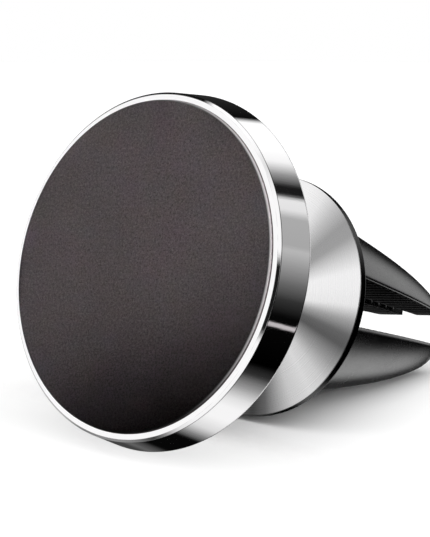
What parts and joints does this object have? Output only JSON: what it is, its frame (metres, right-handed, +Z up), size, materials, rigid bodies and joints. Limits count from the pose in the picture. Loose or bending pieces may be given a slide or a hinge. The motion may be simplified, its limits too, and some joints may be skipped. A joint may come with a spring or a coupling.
{
  "type": "car phone mount",
  "caption": "Round magnetic phone holder on a ball joint, with a slotted rubber clip that pushes onto an air vent louvre.",
  "frame": {"origin": "On the mount's long axis, at the bottom of the clip's slots, where a vent louvre's edge stops.", "axes": "+Y along the clip, from the phone face towards the prong tips; +Z up, across the wide slot; +X to the right of someone facing the phone face."},
  "size_m": [0.04, 0.0534, 0.04],
  "materials": {
    "pad": "fine-grained soft face pad, matt",
    "adhesive": "translucent adhesive sheet",
    "mirror_chrome": "mirror-polished plating",
    "tray_plastic": "moulded, fine grain",
    "magnet_plating": "nickel plating",
    "zinc_steel": "zinc-plated steel",
    "turned_metal": "spun concentric grain, polished edge",
    "bearing_plastic": "low-friction acetal",
    "polished_steel": "polished steel",
    "black_rubber": "satin black rubber",
    "black_nylon": "glass-filled nylon"
  },
  "bodies": {
    "base": {"base_disc": "turned_metal", "clip_flange": "black_rubber", "clip_hub": "black_nylon", "lock_washer": "zinc_steel", "stud_nut": "zinc_steel", "ball_stud": "polished_steel"},
    "front_cup": {"front_cup": "bearing_plastic"},
    "rear_seat": {"rear_seat": "bearing_plastic"},
    "head": {"face_pad": "pad", "pad_tape": "adhesive", "head_shell": "mirror_chrome", "magnet_tray": "tray_plastic", "magnets": "magnet_plating", "yoke_plate": "zinc_steel", "socket_housing": "mirror_chrome", "housing_screws": "zinc_steel", "socket_cap": "mirror_chrome"},
    "jaw_upper_right": {"jaw_upper_right": "black_rubber", "leaf_upper_right": "black_nylon"},
    "jaw_upper_left": {"jaw_upper_left": "black_rubber", "leaf_upper_left": "black_nylon"},
    "jaw_lower_right": {"jaw_lower_right": "black_rubber", "leaf_lower_right": "black_nylon"},
    "jaw_lower_left": {"jaw_lower_left": "black_rubber", "leaf_lower_left": "black_nylon"}
  },
  "joints": [
    {"name": "head_pan", "type": "hinge", "parent": "base", "child": "front_cup", "pos_m": [0, -0.01356, 0], "axis": [0, 0, 1], "range_deg": [-20, 20]},
    {"name": "head_tilt", "type": "hinge", "parent": "front_cup", "child": "rear_seat", "pos_m": [0, -0.01356, 0], "axis": [1, 0, 0], "range_deg": [-20, 20]},
    {"name": "head_spin", "type": "hinge", "parent": "rear_seat", "child": "head", "pos_m": [0, -0.01356, 0], "axis": [0, 1, 0], "continuous": true},
    {"name": "flex_upper_right", "type": "hinge", "parent": "base", "child": "jaw_upper_right", "pos_m": [0.00796, 0, 0.00796], "axis": [0.7071, 0, -0.7071], "range_deg": [0, 5], "stiffness_Nm_per_rad": 1},
    {"name": "flex_upper_left", "type": "hinge", "parent": "base", "child": "jaw_upper_left", "pos_m": [-0.00796, 0, 0.00796], "axis": [0.7071, 0, 0.7071], "range_deg": [0, 5], "stiffness_Nm_per_rad": 1},
    {"name": "flex_lower_right", "type": "hinge", "parent": "base", "child": "jaw_lower_right", "pos_m": [0.00796, 0, -0.00796], "axis": [-0.7071, 0, -0.7071], "range_deg": [0, 5], "stiffness_Nm_per_rad": 1},
    {"name": "flex_lower_left", "type": "hinge", "parent": "base", "child": "jaw_lower_left", "pos_m": [-0.00796, 0, -0.00796], "axis": [-0.7071, 0, 0.7071], "range_deg": [0, 5], "stiffness_Nm_per_rad": 1}
  ]
}
